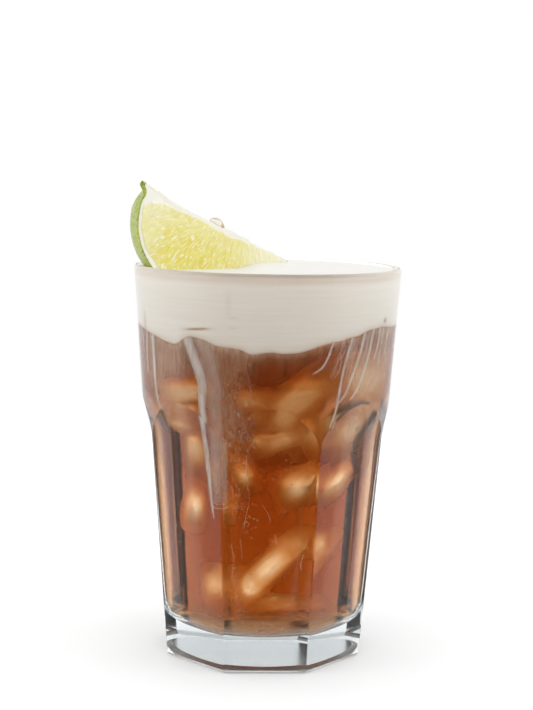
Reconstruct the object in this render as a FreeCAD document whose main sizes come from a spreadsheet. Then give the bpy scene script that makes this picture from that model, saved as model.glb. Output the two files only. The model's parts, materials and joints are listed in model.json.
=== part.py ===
"""A dirty soda: cola under sweet cream in an eight-sided tumbler, with a wedge of lime in the cream.

+Z is up. The origin is on the tumbler's axis, on the surface that it stands on, and one of its
flat sides faces -Y. Lengths are millimetres and angles are degrees.
"""

import FreeCAD
import Part

import math
import os

import Sketcher

OUT = "parts"

# Driving dimensions, one spreadsheet cell each.
SIZES = {
    # tumbler, outside
    "tumbler_height": 130.0,
    "foot_radius": 34.6,  # over the corners
    "waist_height": 88.0,  # top of the arch that ends each flat side
    "waist_radius": 41.6,
    "waist_round": 130.0,
    "rim_radius": 44.5,
    "lip_round": 0.9,
    "foot_round": 1.2,
    "hollow_radius": 27.0,  # shallow hollow under the foot
    "hollow_edge": 3.0,
    "hollow_depth": 1.0,
    # tumbler, flat sides
    "side_count": 8.0,
    "corner_width": 0.8,  # narrow round strip left between two flat sides, at the foot
    "scoop_angle": 20.0,  # slope of a flat side's end, below its arch
    "scoop_round": 24.0,
    # tumbler, inside
    "lip_wall": 2.2,
    "waist_wall": 3.2,
    "side_wall": 2.9,  # where a flat side starts to slope
    "foot_wall": 3.4,  # at the floor, in the middle of a flat side
    "floor_thickness": 11.0,
    "floor_round": 7.0,
    "inner_waist_rise": 6.0,  # above the arches
    "inner_waist_round": 44.0,
    "inner_side_round": 26.0,
    # cola and cream
    "cream_gap": 0.9,  # cream below the rim, at the wall
    "cream_crown": 1.1,
    "cream_shoulder": 9.0,
    "cream_top_round": 44.0,
    "cream_depth": 20.6,
    "cream_sag": 3.4,  # how far its lower edge hangs at the front and rises at the sides
    "cream_sag_turn": -10.6,
    "ripple_height": 0.55,
    "ripple_length": 19.0,
    # lime
    "lime_half_length": 28.5,
    "lime_radius": 26.8,
    "lime_end_round": 24.0,
    "lime_neck_round": 22.0,
    "lime_wedge_angle": 55.0,
    "nipple_length": 2.4,
    "nipple_foot_radius": 3.5,
    "nipple_tip_radius": 1.8,
    "nipple_foot_round": 2.0,
    "nipple_tip_round": 1.0,
    # lime, as it lies in the cream
    "lime_lift": 13.6,  # the middle of its core above the rim
    "lime_clearance": 0.3,
    "lime_bearing": 166.0,  # towards the rim that it rests against, from +X
    "lime_turn": 21.7,
    "lime_pitch": 26.5,
    "lime_roll": -8.0,
}

# Sizes that follow from the cells, as expressions on them.
WALL_SLOPE = "(([waist_radius] - [foot_radius]) / [waist_height])"
SIDE_SHARE = "cos((180 / [side_count]) * 1deg - ([corner_width] / 2 / [foot_radius]) * 1rad)"
SCOOP_SLOPE = "tan([scoop_angle] * 1deg)"
SCOOP_FOOT = (
    f"(([foot_radius] * {SIDE_SHARE} - [waist_radius] + {SCOOP_SLOPE} * [waist_height])"
    f" / ({SCOOP_SLOPE} - {WALL_SLOPE} * {SIDE_SHARE}))"
)
RIM_INSIDE = "([rim_radius] - [lip_wall])"
CREAM_WALL_HEIGHT = "([tumbler_height] - [cream_gap])"


def side_distance(height):
    """How far from the axis the flat sides lie at a height."""
    return f"(([foot_radius] + {WALL_SLOPE} * {height}) * {SIDE_SHARE})"


def upper_wall_radius(height):
    """Outer radius of the round wall at a height above the waist."""
    rise = f"(({height} - [waist_height]) / ([tumbler_height] - [waist_height]))"
    return f"([waist_radius] + ([rim_radius] - [waist_radius]) * {rise})"


def cells(text):
    """An expression with the name of each size, in brackets, made into its cell."""
    for alias in SIZES:
        text = text.replace(f"[{alias}]", f"sizes.{alias}")
    return text


def number(owner, text):
    """What an expression comes to, as a plain number."""
    result = owner.evalExpression(cells(text))
    return float(getattr(result, "Value", result))


def new_sheet(doc):
    """The spreadsheet that holds every driving dimension."""
    sheet = doc.addObject("Spreadsheet::Sheet", "sizes")
    for row, (alias, size) in enumerate(SIZES.items(), start=1):
        sheet.set(f"A{row}", alias)
        sheet.set(f"B{row}", str(size))
        sheet.setAlias(f"B{row}", alias)
    doc.recompute()
    return sheet


def new_sketch(body, name, role):
    """A sketch on one of body's own planes."""
    sketch = body.newObject("Sketcher::SketchObject", name)
    plane = next(f for f in body.Origin.OriginFeatures if f.Role == role)
    sketch.AttachmentSupport = (plane, [""])
    sketch.MapMode = "FlatFace"
    return sketch


def bind(sketch, constraint, text):
    """Adds a constraint that holds a size, and ties the size to an expression."""
    index = sketch.addConstraint(constraint)
    sketch.setExpression(f"Constraints[{index}]", cells(text))


def pin(sketch, curve, end, corner):
    """Holds one end of a curve at a corner."""
    for kind, text in zip(("DistanceX", "DistanceY"), corner):
        place = number(sketch, text)
        bind(sketch, Sketcher.Constraint(kind, -1, 1, curve, end, place), text)


def outline(sketch, corners):
    """A closed outline of straight sides through corners, some of them rounded.

    A corner is (across, up) or (across, up, radius), each an expression.
    """
    count = len(corners)
    places = [FreeCAD.Vector(number(sketch, c[0]), number(sketch, c[1]), 0) for c in corners]
    radii = [number(sketch, c[2]) if len(c) > 2 else 0.0 for c in corners]
    arrive, centre, leave = [], [], []
    for here, place in enumerate(places):
        back = (places[here - 1] - place).normalize()
        ahead = (places[(here + 1) % count] - place).normalize()
        half = back.getAngle(ahead) / 2
        arrive.append(place + back * (radii[here] / math.tan(half)))
        leave.append(place + ahead * (radii[here] / math.tan(half)))
        centre.append(place + (back + ahead).normalize() * (radii[here] / math.sin(half)))
    sides = [
        sketch.addGeometry(Part.LineSegment(leave[here], arrive[(here + 1) % count]), False)
        for here in range(count)
    ]
    for here, corner in enumerate(corners):
        before, after = sides[here - 1], sides[here]
        if len(corner) == 2:
            sketch.addConstraint(Sketcher.Constraint("Coincident", before, 2, after, 1))
            pin(sketch, after, 1, corner)
            continue
        turns_left = (arrive[here] - centre[here]).cross(leave[here] - centre[here]).z > 0
        first, second = (1, 2) if turns_left else (2, 1)
        ends = (arrive[here], leave[here]) if turns_left else (leave[here], arrive[here])
        angles = [math.atan2(end.y - centre[here].y, end.x - centre[here].x) for end in ends]
        circle = Part.Circle(centre[here], FreeCAD.Vector(0, 0, 1), radii[here])
        arc = sketch.addGeometry(Part.ArcOfCircle(circle, *angles), False)
        sketch.addConstraint(Sketcher.Constraint("Tangent", before, 2, arc, first))
        sketch.addConstraint(Sketcher.Constraint("Tangent", arc, second, after, 1))
        bind(sketch, Sketcher.Constraint("Radius", arc, radii[here]), corner[2])
        point = sketch.addGeometry(Part.Point(places[here]), True)
        pin(sketch, point, 1, corner[:2])
        sketch.addConstraint(Sketcher.Constraint("PointOnObject", point, 1, before))
        sketch.addConstraint(Sketcher.Constraint("PointOnObject", point, 1, after))


def revolve(body, sketch, name, axis="V_Axis", angle="360"):
    """A revolution of sketch about one of its own axes."""
    turned = body.newObject("PartDesign::Revolution", name)
    turned.Profile = sketch
    turned.ReferenceAxis = (sketch, [axis])
    turned.setExpression("Angle", cells(angle))
    sketch.Visibility = False
    return turned


def inside_corners():
    """The tumbler's inner wall below the lip, and its floor as far as the axis."""
    waist = "([waist_height] + [inner_waist_rise])"
    return [
        (f"({upper_wall_radius(waist)} - [waist_wall])", waist, "[inner_waist_round]"),
        (f"({side_distance(SCOOP_FOOT)} - [side_wall])", SCOOP_FOOT, "[inner_side_round]"),
        (f"({side_distance('[floor_thickness]')} - [foot_wall])", "[floor_thickness]", "[floor_round]"),
        ("0", "[floor_thickness]"),
    ]


def tumbler(doc):
    """The glass: a round tapered wall on a thick foot, with flat sides scooped out of it.

    A flat side is one straight cut across the wall. Near the waist the cut slopes outward and
    runs out of the round wall, and so leaves an arch over each side.
    """
    body = doc.addObject("PartDesign::Body", "glass")
    wall = new_sketch(body, "wall_outline", "XZ_Plane")
    outside = [
        ("0", "[hollow_depth]"),
        ("[hollow_radius] - [hollow_edge]", "[hollow_depth]"),
        ("[hollow_radius]", "0"),
        ("[foot_radius]", "0", "[foot_round]"),
        ("[waist_radius]", "[waist_height]", "[waist_round]"),
        ("[rim_radius]", "[tumbler_height]", "[lip_round]"),
        (RIM_INSIDE, "[tumbler_height]", "[lip_round]"),
    ]
    outline(wall, outside + inside_corners())
    revolve(body, wall, "wall")
    doc.recompute()
    round_volume = body.Shape.Volume

    # What is cut away lies outside the flat side, in the plane through the axis and its middle.
    cut = new_sketch(body, "side_cut_outline", "YZ_Plane")
    foot = side_distance("0")
    clear = "-(2 * [rim_radius])"
    outline(
        cut,
        [
            (clear, "0"),
            (f"-({foot} - [foot_round])", "0"),
            (f"-({foot})", "[foot_round]"),
            (f"-({side_distance(SCOOP_FOOT)})", SCOOP_FOOT, "[scoop_round]"),
            ("-[waist_radius]", "[waist_height]"),
            (clear, "[waist_height]"),
        ],
    )
    pocket = body.newObject("PartDesign::Pocket", "side_cut")
    pocket.Profile = cut
    pocket.Type = "Length"
    pocket.Midplane = True
    pocket.setExpression("Length", cells("2 * [rim_radius]"))
    cut.Visibility = False
    doc.recompute()
    one_side = round_volume - body.Shape.Volume
    if one_side <= 0:
        raise RuntimeError("the side cut removes nothing")

    sides = body.newObject("PartDesign::PolarPattern", "side_cuts")
    sides.Originals = [pocket]
    sides.Axis = (wall, ["V_Axis"])
    sides.Angle = 360
    sides.setExpression("Occurrences", cells("[side_count]"))
    body.Tip = sides
    doc.recompute()
    all_sides = (round_volume - body.Shape.Volume) / one_side
    middle = body.Shape.Solids[0].CenterOfMass
    if all_sides < number(wall, "[side_count]") - 1 or math.hypot(middle.x, middle.y) > 0.001:
        raise RuntimeError("some side cuts are missing")
    return body


def contents(doc):
    """Everything that fills the tumbler, as one solid up to the cream's domed top."""
    body = doc.addObject("PartDesign::Body", "contents")
    sketch = new_sketch(body, "contents_outline", "XZ_Plane")
    waist = inside_corners()[0]
    lean = f"(({RIM_INSIDE} - {waist[0]}) / ([tumbler_height] - {waist[1]}))"
    cream_wall = f"({RIM_INSIDE} - [cream_gap] * {lean})"
    cream_top = f"({CREAM_WALL_HEIGHT} + [cream_crown])"
    top = [
        ("0", cream_top),
        (f"({cream_wall} - [cream_shoulder])", cream_top, "[cream_top_round]"),
        (cream_wall, CREAM_WALL_HEIGHT),
    ]
    outline(sketch, inside_corners() + top)
    revolve(body, sketch, "contents_turned")
    return body


def cream_space(doc, sheet):
    """Everything above the cream's lower edge: a shallow saddle with ripples on it."""
    edge_height = number(sheet, f"{CREAM_WALL_HEIGHT} - [cream_depth]")
    turn = math.radians(sheet.cream_sag_turn)
    phase = 2 * math.pi / sheet.ripple_length
    steps_per_ripple = 4
    reach = math.ceil(sheet.rim_radius / sheet.ripple_length) * steps_per_ripple
    spacing = sheet.ripple_length / steps_per_ripple
    rows = []
    for i in range(-reach, reach + 1):
        row = []
        for j in range(-reach, reach + 1):
            x, y = i * spacing, j * spacing
            across = x * math.cos(turn) + y * math.sin(turn)
            along = y * math.cos(turn) - x * math.sin(turn)
            saddle = sheet.cream_sag * (across**2 - along**2) / sheet.rim_radius**2
            ripple = sheet.ripple_height * math.sin(phase * x) * math.cos(phase * y / 2)
            row.append(FreeCAD.Vector(x, y, edge_height + saddle + ripple))
        rows.append(row)
    surface = Part.BSplineSurface()
    surface.interpolate(rows)
    space = doc.addObject("Part::Feature", "cream_space")
    space.Shape = surface.toShape().extrude(FreeCAD.Vector(0, 0, sheet.tumbler_height))
    return space


def lime_wedge(doc):
    """A wedge of lime: its outline turned part of the way round the fruit's core."""
    body = doc.addObject("PartDesign::Body", "lime_wedge")
    sketch = new_sketch(body, "lime_outline", "XZ_Plane")
    tip = "-[lime_half_length] - [nipple_length]"
    outline(
        sketch,
        [
            ("[lime_half_length]", "0"),
            (tip, "0"),
            (tip, "-[nipple_tip_radius]", "[nipple_tip_round]"),
            ("-[lime_half_length]", "-[nipple_foot_radius]", "[nipple_foot_round]"),
            ("-[lime_half_length]", "-[lime_radius]", "[lime_neck_round]"),
            ("[lime_half_length]", "-[lime_radius]", "[lime_end_round]"),
        ],
    )
    revolve(body, sketch, "wedge", "H_Axis", "[lime_wedge_angle]")
    return body


def lean_on_rim(lime, glass, sheet):
    """Slides the wedge outward along its bearing until its skin is lime_clearance from the glass."""
    lie = FreeCAD.Rotation(sheet.lime_turn, sheet.lime_pitch, sheet.lime_roll)
    bearing = math.radians(sheet.lime_bearing)
    height = sheet.tumbler_height + sheet.lime_lift
    clear, too_far = 0.0, sheet.rim_radius
    while too_far - clear > 0.001:
        reach = (clear + too_far) / 2
        middle = FreeCAD.Vector(reach * math.cos(bearing), reach * math.sin(bearing), height)
        lime.Placement = FreeCAD.Placement(middle, lie)
        if glass.Shape.distToShape(lime.Shape)[0] > sheet.lime_clearance:
            clear = reach
        else:
            too_far = reach


def combine(doc, kind, name, base, tool):
    """A Part boolean of two objects."""
    made = doc.addObject(kind, name)
    made.Base = base
    made.Tool = tool
    return made


def check(doc, nodes):
    """Stops if anything in the document failed, or a node isn't one valid solid."""
    for thing in doc.Objects:
        if {"Invalid", "Error"} & set(thing.State):
            raise RuntimeError(f"{thing.Name} did not compute: {thing.getStatusString()}")
    for name, thing in nodes.items():
        if thing.Shape.isNull() or not thing.Shape.isValid() or len(thing.Shape.Solids) != 1:
            raise RuntimeError(f"{name} is not one valid solid")


def main():
    doc = FreeCAD.newDocument("dirty_soda")
    sheet = new_sheet(doc)
    glass = tumbler(doc)
    lime = lime_wedge(doc)
    doc.recompute()
    lean_on_rim(lime, glass, sheet)
    filling = combine(doc, "Part::Cut", "filling", contents(doc), lime)
    space = cream_space(doc, sheet)
    nodes = {
        "glass": glass,
        "cola": combine(doc, "Part::Cut", "cola", filling, space),
        "cream": combine(doc, "Part::Common", "cream", filling, space),
        "lime_wedge": lime,
    }
    doc.recompute()
    check(doc, nodes)
    os.makedirs(OUT, exist_ok=True)
    for name, thing in nodes.items():
        thing.Label = name
        thing.Shape.exportStep(f"{OUT}/{name}.step")
        print(f"{name}: {len(thing.Shape.Faces)} faces, {thing.Shape.Volume / 1000:.1f} cm3")


main()
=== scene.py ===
"""A dirty soda: iced cola under sweet cream, with a wedge of lime, in its flat-sided tumbler.

Lengths are millimetres until a mesh is made; angles round the glass are degrees from -Y towards +X.
"""

import bisect
import itertools
import json
import math
import random

import bmesh
import bpy
from mathutils import Matrix, Vector, noise

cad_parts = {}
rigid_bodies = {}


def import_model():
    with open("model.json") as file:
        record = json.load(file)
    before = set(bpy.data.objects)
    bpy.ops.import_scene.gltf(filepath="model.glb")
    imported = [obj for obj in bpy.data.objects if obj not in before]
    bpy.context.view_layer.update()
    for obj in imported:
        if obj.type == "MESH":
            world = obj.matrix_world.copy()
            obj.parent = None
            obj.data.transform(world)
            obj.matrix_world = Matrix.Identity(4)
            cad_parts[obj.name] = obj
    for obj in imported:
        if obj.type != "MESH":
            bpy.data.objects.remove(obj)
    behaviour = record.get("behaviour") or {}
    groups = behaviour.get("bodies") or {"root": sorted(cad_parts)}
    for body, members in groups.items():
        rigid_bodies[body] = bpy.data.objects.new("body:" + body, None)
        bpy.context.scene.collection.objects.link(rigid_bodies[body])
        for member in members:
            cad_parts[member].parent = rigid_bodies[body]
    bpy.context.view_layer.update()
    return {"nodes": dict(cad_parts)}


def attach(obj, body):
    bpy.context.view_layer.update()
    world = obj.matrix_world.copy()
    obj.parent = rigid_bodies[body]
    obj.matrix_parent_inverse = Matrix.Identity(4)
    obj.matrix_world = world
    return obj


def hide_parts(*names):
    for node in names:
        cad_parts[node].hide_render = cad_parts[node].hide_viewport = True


MM = 0.001
BODY = "root"

for spare in list(bpy.data.objects):
    bpy.data.objects.remove(spare, do_unlink=True)
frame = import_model()

# The camera stands a little higher than the lime and looks down at the middle of the glass. FRONT
# is its place round the glass; what is turned towards the camera uses it too.
CAMERA_REACH = 490.85
CAMERA_HEIGHT = 161.39
CAMERA_DOWN = 7.152
CAMERA_ROLL = 1.010
FRONT = -2.597
CAMERA_LENS = 74.70

# The tumbler's inside wall, from the floor to the rim: radius, height, rounding.
FLOOR_TOP = 11.0
INSIDE = (
    (0.0, FLOOR_TOP, 0.0),
    (29.53, FLOOR_TOP, 7.0),
    (34.96, 77.7, 26.0),
    (38.81, 94.0, 44.0),
    (42.30, 130.0, 0.0),
)
REACH_INTO_WALL = 0.18


# ---- materials ----

WHITE = "FFFFFF"
BLACK = "000000"
GLASS_IOR = 1.5
COLA_IOR = 1.34
# Against the cola round it, ice hardly bends light.
ICE_IOR = 1.02
# The share of light that comes through a film of cream and is not sent back by it.
FILM_GLOW = 0.08


def linear(code):
    """An sRGB hex colour as linear RGBA."""
    parts = [int(code[i : i + 2], 16) / 255 for i in (0, 2, 4)]
    return [c / 12.92 if c <= 0.04045 else ((c + 0.055) / 1.055) ** 2.4 for c in parts] + [1.0]


def add_node(tree, kind, inputs=(), **settings):
    """Adds one shader node with its settings and inputs; a socket or a node as input is linked."""
    made = tree.nodes.new("ShaderNode" + kind)
    for name, value in settings.items():
        setattr(made, name, value)
    for name, value in dict(inputs).items():
        if isinstance(value, bpy.types.Node):
            value = value.outputs[0]
        if isinstance(value, bpy.types.NodeSocket):
            tree.links.new(value, made.inputs[name])
        else:
            made.inputs[name].default_value = value
    return made


def new_material(name):
    """A material with an empty node tree, and that tree."""
    made = bpy.data.materials.new(name)
    made.use_nodes = True
    made.node_tree.nodes.clear()
    return made, made.node_tree


def millimetres(tree, stretch=(1, 1, 1)):
    """Where a point of the surface is, in millimetres, stretched."""
    spot = add_node(tree, "TexCoord").outputs["Object"]
    return add_node(tree, "Mapping", {"Vector": spot, "Scale": [s * (1 / MM) for s in stretch]})


def glass_material():
    """Pressed soda-lime glass."""
    # Clear and bright. Its thick foot is faintly grey, and its underside is worn matt.
    made, tree = new_material("soda_lime_glass")
    place = millimetres(tree)
    # Pressing leaves waves some 9 mm wide and 0.05 mm deep.
    waves = add_node(tree, "TexNoise", {"Vector": place, "Scale": 1 / 9, "Detail": 1.0})
    height = add_node(tree, "SeparateXYZ", {"Vector": place}).outputs["Z"]
    worn = {"Value": height, "From Min": 0.4, "From Max": 1.6, "To Min": 0.5, "To Max": 0.0}
    dips = {"Height": waves, "Distance": 0.05 * MM, "Strength": 0.5}
    glass = add_node(
        tree,
        "BsdfPrincipled",
        {
            "Base Color": linear(WHITE),
            "Roughness": add_node(tree, "MapRange", worn),
            "IOR": GLASS_IOR,
            "Specular Tint": linear("CBCBCB"),
            "Transmission Weight": 1.0,
            "Normal": add_node(tree, "Bump", dips),
        },
    )
    grey = add_node(tree, "VolumeAbsorption", {"Color": linear("9DB3B8"), "Density": 9.5})
    add_node(tree, "OutputMaterial", {"Surface": glass, "Volume": grey})
    return made


def cola_material():
    """Cola, a clear dyed drink."""
    # Nearly black where it is deep. Blue is lost in it first, which leaves thin places golden.
    # Against the wall it bends light as water does; against the ice in it, not at all.
    made, tree = new_material("cola")
    wall = add_node(tree, "Attribute", attribute_name="wall").outputs["Fac"]
    bend = add_node(tree, "MapRange", {"Value": wall, "To Min": 1.0, "To Max": COLA_IOR})
    drink = add_node(
        tree,
        "BsdfPrincipled",
        {
            "Base Color": linear(WHITE),
            "Roughness": 0.08,
            "IOR": bend,
            "Specular Tint": linear("7C7C7C"),
            "Transmission Weight": 1.0,
        },
    )
    dye = add_node(tree, "VolumeAbsorption", {"Color": linear("ECD3AC"), "Density": 156.0})
    add_node(tree, "OutputMaterial", {"Surface": drink, "Volume": dye})
    return made


def ice_material():
    """Half-melted ice."""
    # Its faces are wet and uneven, and blur what is behind them. The dents are about 5 mm wide.
    made, tree = new_material("melting_ice")
    place = millimetres(tree)
    dents = add_node(tree, "TexNoise", {"Vector": place, "Scale": 1 / 5, "Detail": 2.0})
    uneven = {"Height": dents, "Distance": 0.4 * MM, "Strength": 0.6}
    ice = add_node(
        tree,
        "BsdfPrincipled",
        {
            "Base Color": linear(WHITE),
            "Roughness": 0.4,
            "IOR": ICE_IOR,
            "Transmission Weight": 1.0,
            "Normal": add_node(tree, "Bump", uneven),
        },
    )
    add_node(tree, "OutputMaterial", {"Surface": ice})
    return made


def cream_material():
    """Cold foamed cream."""
    # White and soft edged, cooler where it is deep, with a tan stain where cola reaches it.
    # The same tan is also painted shade: a band under the rim, and the side towards the front
    # darker.
    made, tree = new_material("foamed_cream")
    place = millimetres(tree)
    # The foam's pores, 1.4 to a millimetre. Real ones are finer; these are as coarse as shows.
    pores = add_node(tree, "TexNoise", {"Vector": place, "Scale": 1.4, "Detail": 3.0})
    steeped = add_node(tree, "Attribute", attribute_name="steeped").outputs["Fac"]
    stain_and_shade = add_node(tree, "Attribute", attribute_name="stain_and_shade").outputs["Fac"]
    white = {0: steeped, 6: linear("EBE9E4"), 7: linear("F6F0E6")}
    white = add_node(tree, "Mix", white, data_type="RGBA").outputs[2]
    # The tan stands both for cola stains and for shade painted on the cream.
    tan = {0: stain_and_shade, 6: white, 7: linear("B98F66")}
    porous = {"Height": pores, "Distance": 0.05 * MM, "Strength": 0.5}
    cream = add_node(
        tree,
        "BsdfPrincipled",
        {
            "Base Color": add_node(tree, "Mix", tan, data_type="RGBA").outputs[2],
            "Roughness": 0.55,
            "Subsurface Weight": 0.35,
            "Subsurface Radius": [0.003, 0.0025, 0.002],
            "Normal": add_node(tree, "Bump", porous),
        },
    )
    add_node(tree, "OutputMaterial", {"Surface": cream})
    return made


def film_material(name, thin, thick):
    """Cream that has run down the wall or mixed into the cola."""
    # A frayed veil: one colour where it is thin, another where it is thick, see-through at the
    # edge. The frays are 1.1 mm wide and 5 mm long.
    made, tree = new_material(name)
    place = millimetres(tree, (1, 1, 0.22))
    fray = add_node(tree, "TexNoise", {"Vector": place, "Scale": 1 / 1.1, "Detail": 3.0})
    fray = {"Value": fray, "From Min": 0.3, "From Max": 0.6, "To Min": 0.7, "To Max": 1.0}
    fray = add_node(tree, "MapRange", fray)
    veil = add_node(tree, "Attribute", attribute_name="veil").outputs["Fac"]
    cover = add_node(tree, "Math", {0: veil, 1: fray}, operation="MULTIPLY")
    colour = {0: cover, 6: linear(thin), 7: linear(thick)}
    face = add_node(
        tree,
        "BsdfPrincipled",
        {
            "Base Color": add_node(tree, "Mix", colour, data_type="RGBA").outputs[2],
            "Roughness": 0.6,
            "Specular IOR Level": 0.0,
            "Alpha": cover,
        },
    )
    through = add_node(tree, "BsdfTranslucent", {"Color": linear("F3D9BE")})
    clear = add_node(tree, "BsdfTransparent")
    behind = add_node(tree, "MixShader", {0: cover, 1: clear, 2: through})
    film = add_node(tree, "MixShader", {0: FILM_GLOW, 1: face, 2: behind})
    add_node(tree, "OutputMaterial", {"Surface": film})
    return made


def froth_material():
    """Tiny bubbles coated with cream."""
    # Pale tan, each with a small wet glint.
    made, tree = new_material("cream_froth")
    froth = add_node(tree, "BsdfPrincipled", {"Base Color": linear("DDB892"), "Roughness": 0.25})
    add_node(tree, "OutputMaterial", {"Surface": froth})
    return made


def peel_material():
    """Lime peel."""
    # Waxy yellow-green skin, its oil glands darker dots with a soft gloss between them. The
    # glands are 1.1 mm apart, and the skin changes its green over some 6 mm.
    made, tree = new_material("lime_peel")
    place = millimetres(tree)
    glands = add_node(tree, "TexVoronoi", {"Vector": place, "Scale": 1 / 1.1})
    spot = {"Value": glands.outputs["Distance"], "From Min": 0.1, "From Max": 0.5}
    spot = add_node(tree, "MapRange", spot)
    patches = add_node(tree, "TexNoise", {"Vector": place, "Scale": 1 / 6, "Detail": 3.0})
    green = {0: patches, 6: linear("7E9620"), 7: linear("C8CE4A")}
    green = add_node(tree, "Mix", green, data_type="RGBA").outputs[2]
    skin = {0: spot, 6: linear("5F7A1E"), 7: green}
    pitted = {"Height": spot, "Distance": 0.12 * MM, "Strength": 0.7}
    peel = add_node(
        tree,
        "BsdfPrincipled",
        {
            "Base Color": add_node(tree, "Mix", skin, data_type="RGBA").outputs[2],
            "Roughness": 0.38,
            "Subsurface Weight": 0.1,
            "Subsurface Radius": [0.001, 0.001, 0.0004],
            "Coat Weight": 0.25,
            "Coat Roughness": 0.3,
            "Normal": add_node(tree, "Bump", pitted),
        },
    )
    add_node(tree, "OutputMaterial", {"Surface": peel})
    return made


def pulp_material():
    """Cut lime."""
    # Wet juice cells of pale yellow with white membranes between them, and dry matt pith.
    made, tree = new_material("lime_pulp")
    place = millimetres(tree)
    flesh = add_node(tree, "Attribute", attribute_name="flesh").outputs["Fac"]
    grain = add_node(tree, "Attribute", attribute_name="grain").outputs["Vector"]
    pale = add_node(tree, "Attribute", attribute_name="pale").outputs["Fac"]
    # Juice that is deeper or paler over some 5 mm.
    depth = add_node(tree, "TexNoise", {"Vector": place, "Scale": 1 / 5, "Detail": 2.0})
    juice = {0: depth, 6: linear("E6D545"), 7: linear("F1E98E")}
    juice = add_node(tree, "Mix", juice, data_type="RGBA").outputs[2]
    juice = {0: pale, 6: juice, 7: linear("F6F2CC")}
    juice = add_node(tree, "Mix", juice, data_type="RGBA").outputs[2]
    # White streaks along the juice cells, 0.6 mm wide and 2.4 mm long.
    streaks = add_node(tree, "Mapping", {"Vector": grain, "Scale": [1.7, 0.42, 1.0]})
    streaks = {"Vector": streaks, "Scale": 1.0, "Detail": 1.5, "Distortion": 0.3}
    streaks = {"Value": add_node(tree, "TexNoise", streaks), "From Min": 0.57, "From Max": 0.66}
    streaks = add_node(tree, "MapRange", {**streaks, "To Min": 0.0, "To Max": 0.85})
    # A fainter net of the cells' walls, 1.8 mm wide and 6 mm long.
    cells = add_node(tree, "Mapping", {"Vector": grain, "Scale": [0.55, 0.16, 1.0]})
    cells = {"Vector": cells, "Scale": 1.0}
    cells = add_node(tree, "TexVoronoi", cells, feature="DISTANCE_TO_EDGE").outputs["Distance"]
    walls = {"Value": cells, "From Min": 0.02, "From Max": 0.12, "To Min": 0.2, "To Max": 0.0}
    walls = add_node(tree, "MapRange", walls)
    white = add_node(tree, "Math", {0: streaks, 1: walls}, operation="MAXIMUM")
    juice = {0: white, 6: juice, 7: linear("FCFAE6")}
    juice = add_node(tree, "Mix", juice, data_type="RGBA").outputs[2]
    cut = {0: flesh, 6: linear("FBF8EC"), 7: juice}
    wet = {"Value": flesh, "To Min": 0.75, "To Max": 0.28}
    # The cut is rough by cells 0.7 mm wide.
    rough = add_node(tree, "TexNoise", {"Vector": place, "Scale": 1 / 0.7, "Detail": 3.0})
    rough = {"Height": rough, "Distance": 0.06 * MM, "Strength": 0.5}
    pulp = add_node(
        tree,
        "BsdfPrincipled",
        {
            "Base Color": add_node(tree, "Mix", cut, data_type="RGBA").outputs[2],
            "Roughness": add_node(tree, "MapRange", wet),
            "Subsurface Weight": 0.35,
            "Subsurface Radius": [0.0025, 0.002, 0.0006],
            "Normal": add_node(tree, "Bump", rough),
        },
    )
    add_node(tree, "OutputMaterial", {"Surface": pulp})
    return made


def pip_material():
    """The woody coat of a lime pip."""
    # Tan with paler veins about 1.2 mm apart, bare and pale at the tip.
    made, tree = new_material("lime_pip_coat")
    place = millimetres(tree)
    veins = add_node(tree, "TexNoise", {"Vector": place, "Scale": 1 / 1.2, "Detail": 3.0})
    coat = {0: veins, 6: linear("B48A52"), 7: linear("E2CDA4")}
    coat = add_node(tree, "Mix", coat, data_type="RGBA").outputs[2]
    bare = add_node(tree, "Attribute", attribute_name="bare").outputs["Fac"]
    tip = {0: bare, 6: coat, 7: linear("F6F3EE")}
    veined = {"Height": veins, "Distance": 0.05 * MM, "Strength": 0.5}
    pip = add_node(
        tree,
        "BsdfPrincipled",
        {
            "Base Color": add_node(tree, "Mix", tip, data_type="RGBA").outputs[2],
            "Roughness": 0.4,
            "Normal": add_node(tree, "Bump", veined),
        },
    )
    add_node(tree, "OutputMaterial", {"Surface": pip})
    return made


# ---- mesh making ----


def new_piece(name, points, faces, material, replaces=None):
    """An object made of points in millimetres and faces; it rides on the drink."""
    mesh = bpy.data.meshes.new(name)
    mesh.from_pydata([[c * MM for c in p] for p in points], [], faces)
    mesh.validate()
    mesh.shade_smooth()
    mesh.materials.append(material)
    made = bpy.data.objects.new(name, mesh)
    bpy.context.scene.collection.objects.link(made)
    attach(made, BODY)
    if replaces:
        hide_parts(replaces)
    return made


def recalculate(piece):
    """Turns all faces of a closed mesh outward."""
    work = bmesh.new()
    work.from_mesh(piece.data)
    bmesh.ops.recalc_face_normals(work, faces=work.faces)
    work.to_mesh(piece.data)
    work.free()


def carry(piece, name, values, kind="FLOAT", key="value"):
    """Gives each point of a piece a value that its material reads."""
    piece.data.attributes.new(name, kind, "POINT").data.foreach_set(key, values)


def grid_faces(rows, columns, start=0, closed=True):
    """Quads between rows of points; closed joins the last column to the first."""
    faces = []
    for i in range(rows - 1):
        for j in range(columns if closed else columns - 1):
            k = (j + 1) % columns
            a, b = start + i * columns, start + (i + 1) * columns
            faces.append((a + j, a + k, b + k, b + j))
    return faces


def loop_faces(rows, columns):
    """Quads of an open grid whose last row is joined to its first."""
    last = (rows - 1) * columns
    seam = [(last + j, last + j + 1, j + 1, j) for j in range(columns - 1)]
    return grid_faces(rows, columns, closed=False) + seam


def fan(start, columns, tip, turned=False):
    """Triangles from a ring of points to one point."""
    faces = [(start + j, start + (j + 1) % columns, tip) for j in range(columns)]
    return [f[::-1] for f in faces] if turned else faces


def closed_rings(points, columns, tips, start=0):
    """Faces of the rings of points from start on, closed by two tips, which it adds."""
    rows = (len(points) - start) // columns
    points += tips
    return (
        grid_faces(rows, columns, start)
        + fan(start, columns, len(points) - 2, turned=True)
        + fan(start + (rows - 1) * columns, columns, len(points) - 1)
    )


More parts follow.
